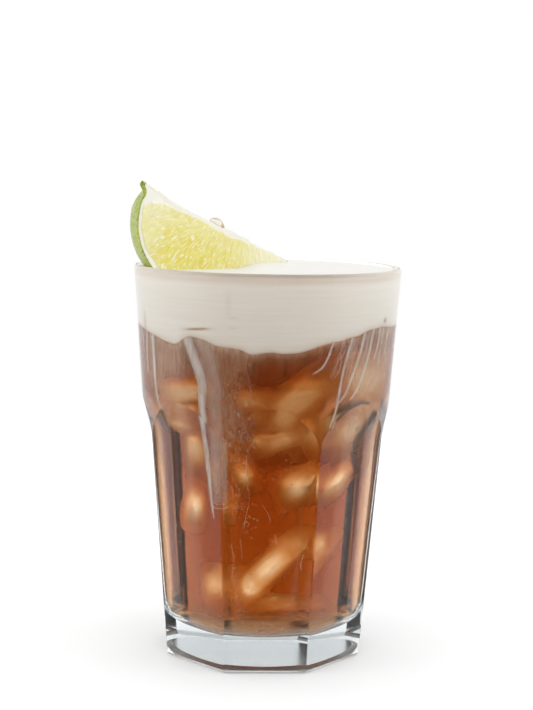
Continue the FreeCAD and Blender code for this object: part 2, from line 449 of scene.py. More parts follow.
def rounded(corners, step):
    """Points about step apart along a line of (x, y, rounding) corners."""
    line = []
    stops = []
    for i, (x, y, r) in enumerate(corners):
        here = Vector((x, y))
        if r == 0 or i in (0, len(corners) - 1):
            stops.append([here])
            continue
        back = (Vector(corners[i - 1][:2]) - here).normalized()
        ahead = (Vector(corners[i + 1][:2]) - here).normalized()
        opening = math.acos(max(-1, min(1, back.dot(ahead))))
        turn = math.pi - opening
        middle = here + (back + ahead).normalized() * (r / math.sin(opening / 2))
        first = here + back * (r * math.tan(turn / 2)) - middle
        spin = 1 if ahead.cross(back) > 0 else -1
        pieces = max(2, math.ceil(r * turn / step))
        turns = [Matrix.Rotation(spin * turn * k / pieces, 2) for k in range(pieces + 1)]
        stops.append([middle + part @ first for part in turns])
    for i, points in enumerate(stops):
        if i:
            start, end = line[-1], points[0]
            pieces = max(1, math.ceil((end - start).length / step))
            line += [start.lerp(end, k / pieces) for k in range(1, pieces)]
        line += points
    return line


def radius_along(line):
    """A function that gives the first coordinate of a line of points for its second one."""
    ordered = sorted(line, key=lambda p: p[1])
    heights = [p[1] for p in ordered]

    def at(height):
        height = min(max(height, heights[0]), heights[-1])
        k = min(bisect.bisect_right(heights, height), len(heights) - 1)
        share = (height - heights[k - 1]) / (heights[k] - heights[k - 1])
        return ordered[k - 1][0] + (ordered[k][0] - ordered[k - 1][0]) * share

    return at


INSIDE_LINE = rounded(INSIDE, 1.0)
# Nearer to the axis than this the line is only the flat floor.
FLAT_FLOOR = 22.5
wall_radius = radius_along([p for p in INSIDE_LINE if p[0] > FLAT_FLOOR])


def ramp(low, high, value):
    """0 below low, 1 above high, smooth between."""
    t = min(1.0, max(0.0, (value - low) / (high - low)))
    return t * t * (3 - 2 * t)


def between(table, place, column):
    """A value of a table that is ordered by its first column, smooth from row to row."""
    for a, b in zip(table, table[1:]):
        if place <= b[0]:
            return a[column] + (b[column] - a[column]) * ramp(a[0], b[0], place)
    return table[-1][column]


def ring_point(angle, radius, height):
    """A point at an angle from -Y towards +X."""
    a = math.radians(angle)
    return (radius * math.sin(a), -radius * math.cos(a), height)


def curve(p0, p1, p2, p3, t):
    """A smooth curve from p1 at 0 to p2 at 1, with p0 before it and p3 after it."""
    return 0.5 * (
        2 * p1
        + (p2 - p0) * t
        + (2 * p0 - 5 * p1 + 4 * p2 - p3) * t * t
        + (3 * p1 - p0 - 3 * p2 + p3) * t**3
    )


def smooth_table(table, angle):
    """A closed curve through the (angle, value) pairs of a table."""
    angle = (angle - table[0][0]) % 360 + table[0][0]
    for i, (start, _) in enumerate(table):
        end = table[i + 1][0] if i + 1 < len(table) else table[0][0] + 360
        if angle <= end:
            values = [table[(i + k) % len(table)][1] for k in (-1, 0, 1, 2)]
            return curve(*values, (angle - start) / (end - start))


# ---- the drink ----

# Where the cream ends on the wall: angle, height.
CREAM_EDGE = (
    (-100, 110.6), (-80, 110.4), (-60, 108.3), (-47, 106.7),
    (-38.6, 109.6), (-30.6, 108.8), (-23.6, 107.0), (-13.6, 106.3),
    (-9.6, 105.0), (0, 105.8), (6.4, 105.2), (16, 106.4),
    (23.4, 107.8), (27.4, 108.6), (34.4, 109.4), (45.4, 111.0),
    (52, 112.2), (70, 111.8), (95, 111.0), (125, 109.0),
    (150, 106.8), (175, 105.4), (205, 106.2), (235, 108.8),
)


def cream_edge(angle):
    """The height at which the cream ends on the wall: the table's curve, a little uneven."""
    a = math.radians(angle)
    wobble = noise.noise(Vector((math.sin(a), math.cos(a), 0.3)) * 9)
    return smooth_table(CREAM_EDGE, angle) + 0.35 * wobble


# Points round the glass in the cola and the cream.
COLUMNS = 288
TURN = [360 * j / COLUMNS for j in range(COLUMNS)]
# Up to this height the cola's rows of points are level; above it they rise to the cream's edge.
LEVEL_ROWS_TOP = 98.0
RISING_ROWS = 8
# The underside of the cream: its height at the axis, its rings as shares of the way to the wall,
# and how far the cola reaches into it.
CREAM_UNDERSIDE = 107.5
UNDERSIDE_RINGS = (0.25, 0.5, 0.75, 0.9, 0.985)
COLA_INTO_CREAM = 0.6


def underside_ring(edge, share, lift=0.0):
    """One ring of points of the surface where the cream lies on the cola."""
    ring = []
    for a, z in zip(TURN, edge):
        height = CREAM_UNDERSIDE + (z - CREAM_UNDERSIDE) * share**2 + lift
        ring.append(ring_point(a, wall_radius(z) * share, height))
    return ring


def cola_body(cola):
    """The cola: everything inside the wall up to the cream, reaching a little into both."""
    edge = [cream_edge(a) for a in TURN]
    points = []
    for r, z in INSIDE_LINE:
        if 0 < r and z < LEVEL_ROWS_TOP:
            if z < FLOOR_TOP + 0.01:
                z -= REACH_INTO_WALL
            else:
                r += REACH_INTO_WALL
            points += [ring_point(a, r, z) for a in TURN]
    for k in range(1, RISING_ROWS + 1):
        for a, top in zip(TURN, edge):
            z = LEVEL_ROWS_TOP + (top - LEVEL_ROWS_TOP) * k / RISING_ROWS
            points.append(ring_point(a, wall_radius(z) + REACH_INTO_WALL, z))
    for share in UNDERSIDE_RINGS[::-1]:
        points += underside_ring(edge, share, COLA_INTO_CREAM)
    tips = [(0, 0, FLOOR_TOP - REACH_INTO_WALL), (0, 0, CREAM_UNDERSIDE + COLA_INTO_CREAM)]
    faces = closed_rings(points, COLUMNS, tips)
    piece = new_piece("cola_drink", points, faces, cola, "cola")
    recalculate(piece)
    return piece


# Ice: each pair of chunks lies one behind the other along a line from the front to the back.
# Across and height in front, across and height behind, half width, half height, roll, and the
# size of the chunk behind.
ICE = (
    (-22.2, 89.8, -18.0, 86.4, 6.5, 2.6, 8, 0.8),
    (-24.2, 82.6, -19.0, 78.8, 5.5, 2.4, 4, 0.8),
    (-18.8, 72.0, -12.7, 68.7, 2.8, 5.5, 6, 0.95),
    (-19.4, 52.2, -13.4, 48.2, 2.9, 4.6, -4, 0.7),
    (8.5, 88.6, 7.4, 85.2, 8.5, 3.2, 49, 1.15),
    (7.2, 86.4, 6.2, 82.8, 4.6, 3.4, 40, 1.2),
    (5.0, 76.5, 5.6, 72.8, 6.8, 2.4, 24, 1.15),
    (11.0, 60.0, 11.8, 56.0, 4.8, 3.6, 25, 0.8),
    (20.5, 62.0, 13.0, 58.2, 5.4, 2.1, 40, 0.7),
    (29.0, 95.5, 22.0, 92.5, 6.0, 7.0, -6, 0.9),
    (24.5, 81.4, 17.4, 77.4, 7.2, 5.2, 24, 1.05),
    (12.4, 40.5, 3.7, 35.8, 2.8, 2.6, 10, 0.7),
    (2.0, 32.5, 1.8, 27.6, 10.5, 2.8, 46, 0.85),
    (-4.8, 25.2, -5.2, 20.8, 3.0, 3.2, 20, 0.8),
    (-10.6, 26.8, -3.6, 22.4, 2.8, 3.6, 0, 0.4),
    (4.0, 20.4, 3.5, 17.6, 6.0, 1.6, 0, 0.4),
    (-4.0, 87.5, -4.0, 84.5, 6.0, 3.0, -10, 0.3),
    (-8.0, 63.0, -8.0, 59.0, 3.0, 4.0, 20, 0.35),
    (-2.0, 76.0, -2.0, 72.0, 4.0, 2.4, 10, 0.5),
)
# Across and height are given this far in front of the axis and as far behind it.
ICE_SIGHT = 15.0
# Where the two chunks of a pair stand on their line, and how deep each is.
ICE_FRONT = -13.0
ICE_BACK = 9.0
ICE_HALF_DEPTH = 13.0
# Quads along each edge of a chunk; an even number leaves no flat slab in its middle.
ICE_GRID = 8
# What the ice keeps clear of: the wall, the floor and the cream.
ICE_FROM_WALL = 2.4
ICE_LOWEST = 12.5
ICE_HIGHEST = 104.0
# The chunks are melted together on a grid of this size and softened this often.
MELT_GRID = 1.0
MELT_STEPS = 8
# The gap between the ice and the hollow that it leaves in the cola.
ICE_GAP = 0.15


def ice_chunk(points, faces, middle, spin, half, seed):
    """Adds one half-melted chunk of ice: a block with worn edges that tapers to front and back."""
    n = ICE_GRID
    index = {}

    def corner(axis, side, i, j):
        p = [0, 0, 0]
        p[axis], p[(axis + 1) % 3], p[(axis + 2) % 3] = side * n, 2 * i - n, 2 * j - n
        key = tuple(p)
        if key not in index:
            index[key] = len(points)
            q = Vector(p) / n
            q *= 1 - 0.24 * (q.length - 1)
            taper = 0.25 + 1.9 * (1 - abs(q.y) ** 0.6)
            wear = 1 + 0.2 * noise.noise(q * 0.9 + Vector((seed, 0, 0)))
            spot = Vector((q.x * half[0] * taper, q.y * half[1], q.z * half[2] * taper))
            points.append(middle + spin @ spot * wear)
        return index[key]

    for axis in range(3):
        for side in (-1, 1):
            for i in range(n):
                for j in range(n):
                    steps = ((0, 0), (1, 0), (1, 1), (0, 1))
                    quad = [corner(axis, side, i + di, j + dj) for di, dj in steps]
                    faces.append(quad if side > 0 else quad[::-1])


def kept_in_cola(p):
    """The point, moved clear of the wall, the floor and the cream."""
    z = min(max(p.z, ICE_LOWEST), ICE_HIGHEST)
    r = math.hypot(p.x, p.y)
    k = min(1, (wall_radius(z) - ICE_FROM_WALL) / r) if r else 1
    return (p.x * k, p.y * k, z)


def ice_mass(ice):
    """The ice: all its chunks, melted into one mass."""
    points, faces = [], []
    draw = random.Random(5)
    facing = Matrix.Rotation(math.radians(FRONT), 3, "Z")
    for number, (x0, z0, x1, z1, wide, high, roll, rear) in enumerate(ICE):
        start = Vector((x0, -ICE_SIGHT, z0))
        ahead = Vector((x1 - x0, 2 * ICE_SIGHT, z1 - z0))
        yaw = math.atan2(-ahead.x, ahead.y)
        pitch = math.atan2(ahead.z, ahead.y)
        for depth, size in ((ICE_FRONT, 1.0), (ICE_BACK, rear)):
            middle = start + ahead * ((depth + ICE_SIGHT) / (2 * ICE_SIGHT))
            tilt = math.radians(roll + draw.uniform(-6, 6))
            spin = (
                Matrix.Rotation(yaw + draw.uniform(-0.15, 0.15), 3, "Z")
                @ Matrix.Rotation(pitch, 3, "X")
                @ Matrix.Rotation(-tilt, 3, "Y")
            )
            half = (wide * size, ICE_HALF_DEPTH, high * size)
            seed = number * 7.3 + depth
            ice_chunk(points, faces, facing @ middle, facing @ spin, half, seed)
    piece = new_piece("ice_chunks", [kept_in_cola(p) for p in points], faces, ice)
    melt = piece.modifiers.new("melt", "REMESH")
    melt.mode = "VOXEL"
    melt.voxel_size = MELT_GRID * MM
    soften = piece.modifiers.new("soften", "SMOOTH")
    soften.factor = 0.5
    soften.iterations = MELT_STEPS
    graph = bpy.context.evaluated_depsgraph_get()
    shape = bpy.data.meshes.new_from_object(piece.evaluated_get(graph))
    piece.modifiers.clear()
    piece.data = shape
    shape.shade_smooth()
    shape.materials.clear()
    shape.materials.append(ice)
    return piece


def hollow_for_ice(cola_piece, ice_piece):
    """Gives the cola a hollow for the ice: the same mass, a little larger and inside out."""
    work = bmesh.new()
    work.from_mesh(cola_piece.data)
    wall = work.verts.layers.float.new("wall")
    for v in work.verts:
        v[wall] = 1.0
    hollow = bmesh.new()
    hollow.from_mesh(ice_piece.data)
    for v in hollow.verts:
        v.co += v.normal * ICE_GAP * MM
    bmesh.ops.reverse_faces(hollow, faces=hollow.faces)
    spare = bpy.data.meshes.new("hollow")
    hollow.to_mesh(spare)
    hollow.free()
    work.from_mesh(spare)
    work.to_mesh(cola_piece.data)
    work.free()
    bpy.data.meshes.remove(spare)
    cola_piece.data.shade_smooth()


# Where the cream's top meets the wall, and how much higher it is in the middle.
CREAM_WALL_TOP = 129.1
CREAM_DOME = 1.0
# Rows of points up the wall and rings on top, and how far from the wall the dome rises.
CREAM_ROWS = 60
CREAM_RINGS = 40
DOME_SHOULDER = 11.0
# Marks in the cream against the wall: angle, height, half widths, tilt per degree, strength.
CREAM_MARKS = (
    (-35.0, 112.0, 5.5, 0.35, 0.05, 1.1),
    (-31.0, 112.4, 3.0, 0.3, 0.07, 0.5),
    (-17.1, 116.2, 1.8, 0.3, 0.0, 0.22),
    (-17.1, 113.0, 1.8, 0.3, 0.0, 0.22),
    (-19.2, 121.0, 0.8, 3.5, 0.0, 0.18),
    (-71.0, 112.0, 1.3, 4.0, 0.0, 0.4),
    (60.6, 114.2, 1.2, 0.8, 0.0, 1.0),
)


def cream_level(x, y):
    """How far the cream's top lies below its usual height: it sinks in front of the lime."""
    inside = wall_radius(CREAM_WALL_TOP) - math.hypot(x, y)
    return 1.7 * ramp(2.0, 11.0, -x) * ramp(-22.0, -6.0, -y) * ramp(0.6, 6.0, inside)


def cream_stain_and_shade(angle, height, edge):
    """How far cola stains and painted shade tint the cream against the wall, from 0 to 1."""
    # Painted shade: a darker band just under the rim, and the side towards the front darker.
    shade = 0.22 * ramp(CREAM_WALL_TOP - 3.5, CREAM_WALL_TOP - 1.2, height)
    shade += 0.14 * math.cos(math.radians(angle - FRONT)) ** 4 * (abs(angle - 180) > 90)
    shade += 0.06 * noise.noise(Vector((angle / 30, 0, height / 0.8)))
    for turned, middle, wide, high, tilt, strength in CREAM_MARKS:
        across = (angle + 180) % 360 - 180 - turned
        up = height - middle - tilt * across
        shade += strength * math.exp(-((across / wide) ** 2) - (up / high) ** 2)
    return min(1, max(0, 0.6 * math.exp(-(height - edge) / 0.8) + shade))


def cream_cap(cream):
    """The layer of cream: domed on top, uneven underneath, reaching a little into the wall."""
    points, steeped, stain_and_shade = [], [], []
    edge = [cream_edge(a) for a in TURN]
    inner_stain = 0.15
    for share in UNDERSIDE_RINGS:
        points += underside_ring(edge, share)
        steeped += [1] * COLUMNS
        stain_and_shade += [inner_stain] * COLUMNS
    for k in range(CREAM_ROWS + 1):
        for a, low in zip(TURN, edge):
            x, y, _ = ring_point(a, wall_radius(CREAM_WALL_TOP), 0)
            z = low + (CREAM_WALL_TOP - cream_level(x, y) - low) * (k / CREAM_ROWS) ** 1.2
            points.append(ring_point(a, wall_radius(z) + REACH_INTO_WALL, z))
            steeped.append(1)
            stain_and_shade.append(cream_stain_and_shade(a, z, low))
    wall = wall_radius(CREAM_WALL_TOP)
    for k in range(1, CREAM_RINGS):
        r = wall * (1 - k / CREAM_RINGS)
        rise = 1 - (1 - min(1, (wall - r) / DOME_SHOULDER)) ** 2
        for a in TURN:
            x, y, z = ring_point(a, r, CREAM_WALL_TOP + CREAM_DOME * rise)
            lump = 0.12 * rise * noise.noise(Vector((x, y, 0)) / 9)
            points.append((x, y, z + lump - cream_level(x, y)))
            steeped.append(1 - ramp(0, 2.5, wall - r))
            stain_and_shade.append(0)
    tips = [(0, 0, CREAM_UNDERSIDE), (0, 0, CREAM_WALL_TOP + CREAM_DOME)]
    faces = closed_rings(points, COLUMNS, tips)
    steeped += [1, 0]
    stain_and_shade += [inner_stain, 0]
    piece = new_piece("cream_layer", points, faces, cream, "cream")
    carry(piece, "steeped", steeped)
    carry(piece, "stain_and_shade", stain_and_shade)
    recalculate(piece)
    return piece


# ---- cream that has run down the wall ----

# Runs of cream: strength, widths at the top and the end, then angle, height along each.
RUNS = (
    (1.0, 5.4, 1.5, (
        -41, 111, -37.8, 105.2, -35.3, 101.2, -33.4, 97.5, -32.6, 94, -33.5, 87.8,
        -33.3, 83.2, -33.6, 78.5, -32.9, 73.8, -31.4, 64.8, -29.8, 55.3, -28.7, 50.8,
    )),
    (0.4, 6.5, 5.0, (
        -33, 110, -28.5, 102.7, -26.6, 94.9, -27.3, 86.9, -27.2, 77.2, -26.6, 67.4, -26.2, 55.8,
    )),
    (0.9, 3.0, 1.6, (-63.6, 110, -64, 100, -64.5, 93.4, -64, 86.9, -61.6, 84.6)),
    (0.7, 2.6, 1.4, (-69.3, 115.2, -69.5, 109.4, -71.3, 102.7, -72, 95.4)),
    (0.9, 1.1, 0.7, (29, 109, 27.4, 107.8, 25.4, 103.7, 22.7, 100.6, 18.5, 98.8)),
    (0.9, 1.4, 1.0, (
        38, 110.5, 37.6, 108.4, 35.1, 102.1, 33.3, 94.8, 32.4, 86.7, 30.3, 80.9,
    )),
    (0.85, 1.8, 1.1, (46.1, 112, 43.3, 103.9, 39.5, 96.7, 36.4, 91.4, 31.9, 88.4)),
    (0.9, 2.0, 1.2, (52, 113, 50.1, 105.2, 47.1, 98.2, 43.6, 92.6, 40, 89.6)),
    (0.9, 2.2, 1.2, (57.5, 113.5, 56.3, 106.4, 54.1, 101.7)),
    (0.8, 2.4, 1.2, (66, 113.5, 65, 108, 64, 102.6)),
    (0.3, 0.5, 0.3, (-9.8, 107.9, -11.5, 101.6, -9.7, 95.3, -8.8, 88.9)),
    (0.5, 0.3, 0.2, (-12.5, 72.5, -12, 64.4, -10.8, 57.9, -13.1, 51.2, -14.2, 46.3)),
    (0.45, 0.25, 0.2, (-3.7, 56.3, -0.9, 54, 1.5, 50.8)),
    (0.5, 0.3, 0.25, (-21.4, 42.7, -20.3, 37.8, -21.7, 31)),
    (0.45, 0.25, 0.2, (-16, 44.6, -14.9, 37.9)),
    (0.55, 0.35, 0.3, (3.9, 46.5, 5.2, 43.1)),
    (0.75, 0.25, 0.4, (21.6, 39.5, 20.1, 36.2, 20.9, 34.5)),
    (0.35, 0.3, 0.2, (-47.1, 33.6, -46.6, 30.2)),
)
# Cloudy places on the wall: angle, height, half widths in degrees and millimetres, strength.
CLOUDS = (
    (-30, 97, 9, 14, 0.6),
    (-27, 66, 4, 14, 0.4),
    (-18, 82, 10, 9, 0.4),
    (-66, 98, 10, 14, 0.55),
    (62, 102, 12, 12, 0.6),
    (42, 96, 12, 10, 0.4),
    (-48, 102, 10, 7, 0.5),
    (-18, 102, 9, 8, 0.35),
    (6, 78, 12, 6, 0.15),
    (50, 78, 14, 8, 0.4),
)
# How deep the first run lies inside the wall, and how much deeper the next layers lie.
FILM_DEPTH = 0.12
FILM_APART = 0.01
FILM_LAYERS = 40
FILM_COLUMNS = (-1.0, -0.7, -0.35, 0.0, 0.35, 0.7, 1.0)
# Runs are laid out on the wall unrolled at this radius.
ARC_RADIUS = 36.0


def spline(points, step):
    """Points about step apart on a smooth curve through the given (arc, height) pairs."""
    made = []
    last = len(points) - 1
    for i in range(last):
        near = [points[min(max(i + k, 0), last)] for k in (-1, 0, 1, 2)]
        count = max(2, int((near[2] - near[1]).length / step))
        made += [curve(*near, k / count) for k in range(count)]
    made.append(points[-1])
    return made


def arc_at(angle):
    """The distance round the unrolled wall of an angle."""
    return math.radians(angle) * ARC_RADIUS


def on_wall(arc, height, depth):
    """A point near the wall, from its distance round the glass and its height."""
    angle = math.degrees(arc / ARC_RADIUS)
    return ring_point(angle, wall_radius(height) - depth, height)


def add_run(points, faces, veil, path, strength, wide, narrow, depth):
    """Adds one soft-edged run of cream along a path of (arc, height) points."""
    line = spline(path, 0.5)
    total = len(line) - 1
    start = len(points)
    for i, p in enumerate(line):
        t = i / total
        along = line[min(i + 1, total)] - line[max(i - 1, 0)]
        across = Vector((-along.y, along.x)).normalized() if along.length else Vector((1, 0))
        wave = 1 + 0.25 * noise.noise(Vector((p.x / 2.0, p.y / 3.0, strength * 9)))
        half = (wide + (narrow - wide) * t**0.6) * wave / 2 * (1 - 0.6 * ramp(0.93, 1.0, t))
        for c in FILM_COLUMNS:
            spot = p + across * (c * half)
            points.append(on_wall(spot.x, spot.y, depth))
            veil.append(strength * (1 - c * c) ** 0.6 * (1 - 0.3 * ramp(0.85, 1.0, t)))
    columns = len(FILM_COLUMNS)
    faces += grid_faces(total + 1, columns, start, closed=False)


def cream_runs(film):
    """Runs, threads and curls of cream close to the wall, all round the glass."""
    points, faces, veil = [], [], []
    draw = random.Random(23)
    layers = itertools.cycle(range(FILM_LAYERS))

    def lay(path, strength, wide, narrow, layer):
        depth = FILM_DEPTH + FILM_APART * layer
        add_run(points, faces, veil, path, strength, wide, narrow, depth)

    def falling(angle, top, reach, drift, shake, bend=1.0):
        path = []
        for k in range(5):
            aside = drift * reach * k**bend / 4 + draw.uniform(-shake, shake)
            path.append(Vector((arc_at(angle) + aside, top - reach * k / 4)))
        return path

    for strength, wide, narrow, stops in RUNS:
        path = [Vector((arc_at(a), z)) for a, z in zip(stops[::2], stops[1::2])]
        lay(path, strength, wide, narrow, 2 * next(layers))
    # The sides and the back have runs like those in front.
    for _ in range(46):
        angle = draw.uniform(72, 285)
        reach = draw.choice((8, 12, 18, 30)) * draw.uniform(0.7, 1.2)
        drift = draw.uniform(-0.25, 0.25)
        path = falling(angle, cream_edge(angle) + 1.5, reach, drift, 0.8)
        wide = draw.uniform(0.6, 2.0)
        lay(path, draw.uniform(0.3, 0.75), wide, wide * 0.4, next(layers))
    # Fainter threads between the runs on the right.
    for _ in range(22):
        angle = draw.uniform(30, 69)
        reach = draw.uniform(6, 15)
        lean = draw.uniform(0.05, 0.2) * (70 - angle) / 30
        path = falling(angle, cream_edge(angle) + 1.0, reach, -lean, 0.5, bend=1.3)
        wide = draw.uniform(0.4, 1.6)
        lay(path, draw.uniform(0.2, 0.55), wide, wide * 0.6, next(layers))
    # A ladder of ripples beside the longest run: angle, drop of each step's points.
    rung = ((-29.5, 0.5), (-27.5, -0.2), (-25.0, -0.1), (-22.5, 0.6))
    for step in range(15):
        z = 77.5 - 1.65 * step + draw.uniform(-0.3, 0.3)
        path = [Vector((arc_at(a), z + drop)) for a, drop in rung]
        wide = draw.uniform(0.35, 0.7)
        lay(path, draw.uniform(0.2, 0.5), wide, wide, step)
    # Short curls where the cream breaks up: two crowds in front, and some all round.
    spots = [(draw.uniform(-26, -8), draw.uniform(70, 93)) for _ in range(120)]
    spots += [(draw.uniform(-22, -10), draw.uniform(46, 71)) for _ in range(34)]
    spots += [(draw.uniform(-180, 180), draw.uniform(30, 104)) for _ in range(130)]
    for angle, z in spots:
        lean = draw.uniform(-1.2, 1.2)
        reach = draw.uniform(0.5, 1.6)
        a = arc_at(angle)
        path = [
            Vector((a, z)),
            Vector((a + lean * reach * 0.4 + draw.uniform(-0.4, 0.4), z - reach * 0.5)),
            Vector((a + lean * reach, z - reach)),
        ]
        wide = draw.uniform(0.16, 0.34)
        lay(path, draw.uniform(0.25, 0.6), wide, wide, next(layers))
    piece = new_piece("cream_runs", points, faces, film)
    carry(piece, "veil", veil)
    return piece


# The haze: how far inside the wall it hangs, where it starts, and its columns and rows of points.
HAZE_FROM_WALL = 1.3
HAZE_LOWEST = 16.0
HAZE_COLUMNS = 300
HAZE_ROWS = 130
HAZE_THICKEST = 0.9


def cream_haze(film):
    """A haze in the cola close to the wall: thick under the cream, then in soft clouds."""
    points, veil = [], []
    for i in range(HAZE_ROWS):
        for j in range(HAZE_COLUMNS):
            angle = 360 * j / HAZE_COLUMNS
            top = cream_edge(angle) + 0.4
            z = HAZE_LOWEST + (top - HAZE_LOWEST) * i / (HAZE_ROWS - 1)
            x, y, _ = ring_point(angle, wall_radius(z) - HAZE_FROM_WALL, z)
            points.append((x, y, z))
            around = (angle + 180) % 360 - 180
            amount = 0.8 * math.exp(-(top - z) / 1.6) + 0.22 * math.exp(-(top - z) / 9)
            mottle = 0.5 + 0.5 * noise.noise(Vector((x / 7, y / 7, z / 16)))
            amount += 0.05 * mottle * ramp(30, 80, z)
            for a, h, wide, high, strength in CLOUDS:
                d = ((around - a) / wide) ** 2 + ((z - h) / high) ** 2
                amount += strength * math.exp(-d) * (0.5 + 0.7 * mottle)
            veil.append(min(HAZE_THICKEST, amount))
    faces = grid_faces(HAZE_ROWS, HAZE_COLUMNS)
    piece = new_piece("cream_haze", points, faces, film)
    carry(piece, "veil", veil)
    return piece


# Swarms of bubbles: angle, height, spread of each, how many.
BUBBLES = (
    (-19, 93, 2.5, 4.5, 60),
    (-13, 80, 2.5, 3.5, 45),
    (-17, 58, 3.0, 4.0, 26),
    (-11, 51, 3.0, 4.0, 20),
    (-20, 34, 1.0, 5.0, 18),
    (-15, 27, 2.0, 4.0, 12),
    (-5, 17, 4.0, 3.0, 10),
    (8, 70, 3.0, 3.0, 8),
    (34, 92, 5.0, 6.0, 25),
)
STRAY_BUBBLES = 170
BUBBLE_FROM_WALL = 0.5
BUBBLE_ROWS = 4
BUBBLE_COLUMNS = 8


def bubbles(froth):
    """Swarms of tiny bubbles of cream just inside the wall, and stray ones all round."""
    draw = random.Random(41)
    spots = []
    for angle, z, wide, high, count in BUBBLES:
        for _ in range(count):
            spots.append((draw.gauss(angle, wide), draw.gauss(z, high), draw.uniform(0.12, 0.26)))
    for _ in range(STRAY_BUBBLES):
        spots.append((draw.uniform(-180, 180), draw.uniform(15, 100), draw.uniform(0.1, 0.24)))
    rows, columns = BUBBLE_ROWS, BUBBLE_COLUMNS
    points, faces = [], []
    for angle, z, size in spots:
        z = min(max(z, 14), cream_edge(angle) - 0.5)
        middle = Vector(ring_point(angle, wall_radius(z) - BUBBLE_FROM_WALL, z))
        start = len(points)
        for i in range(1, rows + 1):
            t = math.pi * i / (rows + 1)
            for j in range(columns):
                a = 2 * math.pi * j / columns
                out = Vector((math.sin(t) * math.cos(a), math.sin(t) * math.sin(a), math.cos(t)))
                points.append(middle + size * out)
        tips = [middle + Vector((0, 0, size)), middle - Vector((0, 0, size))]
        faces += closed_rings(points, columns, tips, start)
    piece = new_piece("cream_bubbles", points, faces, froth)
    recalculate(piece)
    return piece


# ---- lime ----

# The wedge's core runs along its own X, and its two cuts stand LIME_ANGLE apart round the core.
LIME_MIDDLE = Vector((-16.1055, 4.0156, 143.6))
LIME_SPIN = (
    Matrix.Rotation(math.radians(21.7), 3, "Z")
    @ Matrix.Rotation(math.radians(26.5), 3, "Y")
    @ Matrix.Rotation(math.radians(-8.0), 3, "X")
)
LIME_ANGLE = 55.0
# The fruit's outline beside its core: place along it, distance from it, rounding.
LIME_OUTLINE = (
    (-30.9, 0.0, 0.0),
    (-30.9, 1.8, 1.0),
    (-28.5, 3.5, 2.0),
    (-28.5, 26.8, 22.0),
    (28.5, 26.8, 24.0),
    (28.5, 0.0, 0.0),
)
# The peel's thickness, and how much thicker it is at the neck of the fruit.
PEEL = 0.45
NECK = 1.1
# The pulp reaches this far into the peel.
PULP_INTO_PEEL = 0.15
# The ends of the core that the juice cells fan out along, and the spot beyond it that they
# point at.
CORE_START = -30.6
CORE_LENGTH = 58.9
CELLS_FROM = (3.7, -16.0)
# Along the core: place, how far the ragged core is worn down, where the flesh starts, and how
# thick the pith is.
LIME_CORE = (
    (-30.9, 0.1, 9.0, 1.2),
    (-27.0, 0.3, 7.0, 1.9),
    (-24.5, 0.5, 4.6, 1.6),
    (-20.0, 1.1, 3.1, 1.5),
    (-14.0, 1.5, 2.8, 1.8),
    (-6.0, 1.4, 2.5, 2.2),
    (1.0, 1.3, 2.7, 2.2),
    (4.0, 0.7, 2.5, 2.1),
    (12.0, 0.3, 1.7, 2.0),
    (14.0, 0.9, 1.4, 2.0),
    (22.0, 0.5, 0.9, 1.9),
    (28.5, 0.3, 1.2, 1.6),
)
# Rows of points down each cut, and steps round the peel from one cut to the other.
CUT_ROWS = 84
BACK_STEPS = 14
PEEL_STEPS = 60


def lime_point(x, radius, angle, lift=0.0):
    """A point of the wedge: along its core, out from it, round it, and proud of the nearer cut."""
    a = math.radians(angle)
    out = Vector((x, radius * math.sin(a), -radius * math.cos(a)))
    side = -1 if angle < LIME_ANGLE / 2 else 1
    return LIME_MIDDLE + LIME_SPIN @ (out + side * lift * Vector((0, math.cos(a), math.sin(a))))


def inward(line, depth):
    """The outline moved towards the inside of the fruit by a depth for each of its points."""
    moved = []
    for i, p in enumerate(line):
        along = (line[min(i + 1, len(line) - 1)] - line[max(i - 1, 0)]).normalized()
        moved.append(Vector((p[0] + along[1] * depth(p), max(0.05, p[1] - along[0] * depth(p)))))
    return moved


def peel_depth(p):
    """The peel is thin, but for the neck of the fruit at the end of the core."""
    return PEEL + NECK * ramp(6.0, 1.5, p[1]) * ramp(-20.0, -28.0, p[0])


def lime_peel(skin):
    """The peel: a thin green shell, pitted all over by its oil glands."""
    line = [p for p in rounded(LIME_OUTLINE, 0.45) if p[0] < 26.5 or p[1] > 3.0]
    inner = inward(line, peel_depth)
    turns = [LIME_ANGLE * k / PEEL_STEPS for k in range(PEEL_STEPS + 1)]
    points = []
    for a in turns:
        for x, radius in line:
            spot = lime_point(x, radius, a)
            glands = noise.voronoi(spot / 1.5)[0]
            pit = 0.16 * (1 - ramp(0.0, 0.45, glands[0])) + 0.12 * noise.noise(spot / 3.1)
            points.append(lime_point(x, radius - (0.12 + pit) * ramp(0, 0.4, radius), a))
    for a in turns[::-1]:
        points += [lime_point(x, radius, a) for x, radius in inner]
    faces = loop_faces(2 * len(turns), len(line))
    piece = new_piece("lime_peel", points, faces, skin, "lime_wedge")
    recalculate(piece)
    return piece


def juice_cell(x, radius, angle):
    """A point's place across and along the juice cells, and how far its cell bulges there."""
    away = Vector((x - CELLS_FROM[0], radius - CELLS_FROM[1]))
    across = math.atan2(away.x, away.y) * 30
    along = away.length
    bend = Vector((across / 5, along / 5, angle + 2.0))
    across += 0.8 * noise.noise(bend)
    along += 1.5 * noise.noise(bend + Vector((9, 3, 5)))
    gaps = noise.voronoi(Vector((across / 2.1, along / 6.0, angle)))[0]
    return across, along, ramp(0.0, 0.5, gaps[1] - gaps[0])


def flesh_share(x, radius, angle, to_peel):
    """1 in the flesh of a cut and 0 in its pith, with an uneven seam between them."""
    pith = between(LIME_CORE, x, 3)
    first = between(LIME_CORE, x, 2) + (0.8 if angle else 0.0)
    seam = 0.5 * noise.noise(Vector((x / 4, radius / 4, angle)))
    return ramp(-0.25, 0.3, to_peel - pith + seam) * ramp(-0.3, 0.35, radius - first + seam)


